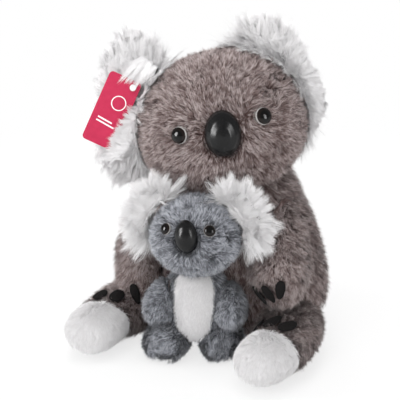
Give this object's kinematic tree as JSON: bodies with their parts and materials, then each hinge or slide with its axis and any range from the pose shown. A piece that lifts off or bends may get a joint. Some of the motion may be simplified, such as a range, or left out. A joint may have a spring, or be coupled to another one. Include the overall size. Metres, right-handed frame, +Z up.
{
  "type": "seated plush koala with baby",
  "caption": "Seated plush koala holding a smaller koala in its lap, with white shaggy ears, gloss nose, domed eyes, felt claws and a red hang tag.",
  "frame": {"origin": "on the flat of the mother's seat, on the plane that the toy sits on, between her hips", "axes": "+Z up, -Y the way the mother's tummy faces, +X to her left"},
  "size_m": [0.1954, 0.1977, 0.2491],
  "materials": {
    "mother_torso_finish": "mottled taupe plush",
    "mother_head_finish": "mottled taupe plush",
    "mother_nose_finish": "gloss black plastic",
    "mother_nose_washer_finish": "natural matt plastic",
    "mother_left_eye_finish": "gloss dark brown plastic",
    "mother_left_eye_washer_finish": "natural matt plastic",
    "mother_right_eye_finish": "gloss dark brown plastic",
    "mother_right_eye_washer_finish": "natural matt plastic",
    "mother_left_ear_finish": "white long-pile plush",
    "mother_right_ear_finish": "white long-pile plush",
    "tag_pin_finish": "clear plastic",
    "hang_tag_finish": "red coated card",
    "mother_left_arm_finish": "mottled taupe plush",
    "mother_left_paw_claw_1_finish": "black felt",
    "mother_left_paw_claw_2_finish": "black felt",
    "mother_left_paw_claw_3_finish": "black felt",
    "mother_right_arm_finish": "mottled taupe plush",
    "mother_right_paw_claw_1_finish": "black felt",
    "mother_right_paw_claw_2_finish": "black felt",
    "mother_right_paw_claw_3_finish": "black felt",
    "mother_left_leg_finish": "mottled taupe plush",
    "mother_left_sole_finish": "white long-pile plush",
    "mother_left_foot_claw_1_finish": "black felt",
    "mother_left_foot_claw_2_finish": "black felt",
    "mother_left_foot_claw_3_finish": "black felt",
    "mother_right_leg_finish": "mottled taupe plush",
    "mother_right_sole_finish": "white long-pile plush",
    "mother_right_foot_claw_1_finish": "black felt",
    "mother_right_foot_claw_2_finish": "black felt",
    "mother_right_foot_claw_3_finish": "black felt",
    "baby_body_finish": "mottled blue-grey plush",
    "baby_bib_finish": "white long-pile plush",
    "baby_left_leg_finish": "mottled blue-grey plush",
    "baby_right_leg_finish": "mottled blue-grey plush",
    "baby_head_finish": "mottled blue-grey plush",
    "baby_nose_finish": "gloss black plastic",
    "baby_nose_washer_finish": "natural matt plastic",
    "baby_left_eye_finish": "gloss dark brown plastic",
    "baby_left_eye_washer_finish": "natural matt plastic",
    "baby_right_eye_finish": "gloss dark brown plastic",
    "baby_right_eye_washer_finish": "natural matt plastic",
    "baby_left_ear_finish": "white long-pile plush",
    "baby_right_ear_finish": "white long-pile plush",
    "baby_left_arm_finish": "mottled blue-grey plush",
    "baby_right_arm_finish": "mottled blue-grey plush"
  },
  "bodies": {
    "mother_body": {"mother_torso": "mother_torso_finish"},
    "mother_head": {"mother_head": "mother_head_finish", "mother_nose": "mother_nose_finish", "mother_nose_washer": "mother_nose_washer_finish", "mother_left_eye": "mother_left_eye_finish", "mother_left_eye_washer": "mother_left_eye_washer_finish", "mother_right_eye": "mother_right_eye_finish", "mother_right_eye_washer": "mother_right_eye_washer_finish"},
    "mother_left_ear": {"mother_left_ear": "mother_left_ear_finish"},
    "mother_right_ear": {"mother_right_ear": "mother_right_ear_finish", "tag_pin": "tag_pin_finish"},
    "hang_tag": {"hang_tag": "hang_tag_finish"},
    "mother_left_arm": {"mother_left_arm": "mother_left_arm_finish", "mother_left_paw_claw_1": "mother_left_paw_claw_1_finish", "mother_left_paw_claw_2": "mother_left_paw_claw_2_finish", "mother_left_paw_claw_3": "mother_left_paw_claw_3_finish"},
    "mother_right_arm": {"mother_right_arm": "mother_right_arm_finish", "mother_right_paw_claw_1": "mother_right_paw_claw_1_finish", "mother_right_paw_claw_2": "mother_right_paw_claw_2_finish", "mother_right_paw_claw_3": "mother_right_paw_claw_3_finish"},
    "mother_left_leg": {"mother_left_leg": "mother_left_leg_finish", "mother_left_sole": "mother_left_sole_finish", "mother_left_foot_claw_1": "mother_left_foot_claw_1_finish", "mother_left_foot_claw_2": "mother_left_foot_claw_2_finish", "mother_left_foot_claw_3": "mother_left_foot_claw_3_finish"},
    "mother_right_leg": {"mother_right_leg": "mother_right_leg_finish", "mother_right_sole": "mother_right_sole_finish", "mother_right_foot_claw_1": "mother_right_foot_claw_1_finish", "mother_right_foot_claw_2": "mother_right_foot_claw_2_finish", "mother_right_foot_claw_3": "mother_right_foot_claw_3_finish"},
    "baby": {"baby_body": "baby_body_finish", "baby_bib": "baby_bib_finish", "baby_left_leg": "baby_left_leg_finish", "baby_right_leg": "baby_right_leg_finish"},
    "baby_head": {"baby_head": "baby_head_finish", "baby_nose": "baby_nose_finish", "baby_nose_washer": "baby_nose_washer_finish", "baby_left_eye": "baby_left_eye_finish", "baby_left_eye_washer": "baby_left_eye_washer_finish", "baby_right_eye": "baby_right_eye_finish", "baby_right_eye_washer": "baby_right_eye_washer_finish"},
    "baby_left_ear": {"baby_left_ear": "baby_left_ear_finish"},
    "baby_right_ear": {"baby_right_ear": "baby_right_ear_finish"},
    "baby_left_arm": {"baby_left_arm": "baby_left_arm_finish"},
    "baby_right_arm": {"baby_right_arm": "baby_right_arm_finish"}
  },
  "joints": [
    {"name": "mother_neck", "type": "hinge", "parent": "mother_body", "child": "mother_head", "pos_m": [0, 0.006, 0.13601], "axis": [0, 0, 1], "range_deg": [-12, 12], "stiffness_Nm_per_rad": 0.15},
    {"name": "mother_left_ear_flop", "type": "hinge", "parent": "mother_head", "child": "mother_left_ear", "pos_m": [0.02623, 0.02547, 0.19847], "axis": [-0.4494, -0.2192, 0.866], "range_deg": [-8, 8], "stiffness_Nm_per_rad": 0.02},
    {"name": "mother_right_ear_flop", "type": "hinge", "parent": "mother_head", "child": "mother_right_ear", "pos_m": [-0.05756, -0.0154, 0.18459], "axis": [0.0627, 0.0306, 0.9976], "range_deg": [-8, 8], "stiffness_Nm_per_rad": 0.02},
    {"name": "hang_tag_swing", "type": "hinge", "parent": "mother_right_ear", "child": "hang_tag", "pos_m": [-0.06391, -0.03404, 0.20541], "axis": [0.3738, -0.9162, 0.1444], "range_deg": [-10, 10]},
    {"name": "mother_left_shoulder", "type": "hinge", "parent": "mother_body", "child": "mother_left_arm", "pos_m": [0.03555, 0.006, 0.1264], "axis": [0, -1, 0], "range_deg": [0, 18], "stiffness_Nm_per_rad": 0.03},
    {"name": "mother_right_shoulder", "type": "hinge", "parent": "mother_body", "child": "mother_right_arm", "pos_m": [-0.03713, 0.006, 0.1264], "axis": [-1, 0, 0], "range_deg": [0, 18], "stiffness_Nm_per_rad": 0.03},
    {"name": "mother_left_hip", "type": "hinge", "parent": "mother_body", "child": "mother_left_leg", "pos_m": [0.04108, 0.024, 0.0208], "axis": [0, 0, 1], "range_deg": [0, 8], "stiffness_Nm_per_rad": 0.05},
    {"name": "mother_right_hip", "type": "hinge", "parent": "mother_body", "child": "mother_right_leg", "pos_m": [-0.04108, 0.024, 0.0208], "axis": [0, 0, -1], "range_deg": [0, 8], "stiffness_Nm_per_rad": 0.05},
    {"name": "baby_lift_out", "type": "slide", "parent": "mother_body", "child": "baby", "axis": [0, -1, 0], "range_m": [0, 0.12]},
    {"name": "baby_neck", "type": "hinge", "parent": "baby", "child": "baby_head", "pos_m": [0, -0.051, 0.074], "axis": [0, 0, 1], "range_deg": [-8, 8], "stiffness_Nm_per_rad": 0.03},
    {"name": "baby_left_ear_flop", "type": "hinge", "parent": "baby_head", "child": "baby_left_ear", "pos_m": [0.03046, -0.06237, 0.11474], "axis": [-0.433, -0.0686, 0.8988], "range_deg": [-8, 8], "stiffness_Nm_per_rad": 0.005},
    {"name": "baby_right_ear_flop", "type": "hinge", "parent": "baby_head", "child": "baby_right_ear", "pos_m": [-0.01931, -0.07026, 0.11298], "axis": [0.37, 0.0586, 0.9272], "range_deg": [-8, 8], "stiffness_Nm_per_rad": 0.005},
    {"name": "baby_left_shoulder", "type": "hinge", "parent": "baby", "child": "baby_left_arm", "pos_m": [0.01609, -0.04639, 0.0581], "axis": [-0.9613, -0.2756, 0], "range_deg": [0, 12], "stiffness_Nm_per_rad": 0.006},
    {"name": "baby_right_shoulder", "type": "hinge", "parent": "baby", "child": "baby_right_arm", "pos_m": [-0.01609, -0.05561, 0.0581], "axis": [-0.9613, -0.2756, 0], "range_deg": [0, 12], "stiffness_Nm_per_rad": 0.006}
  ]
}
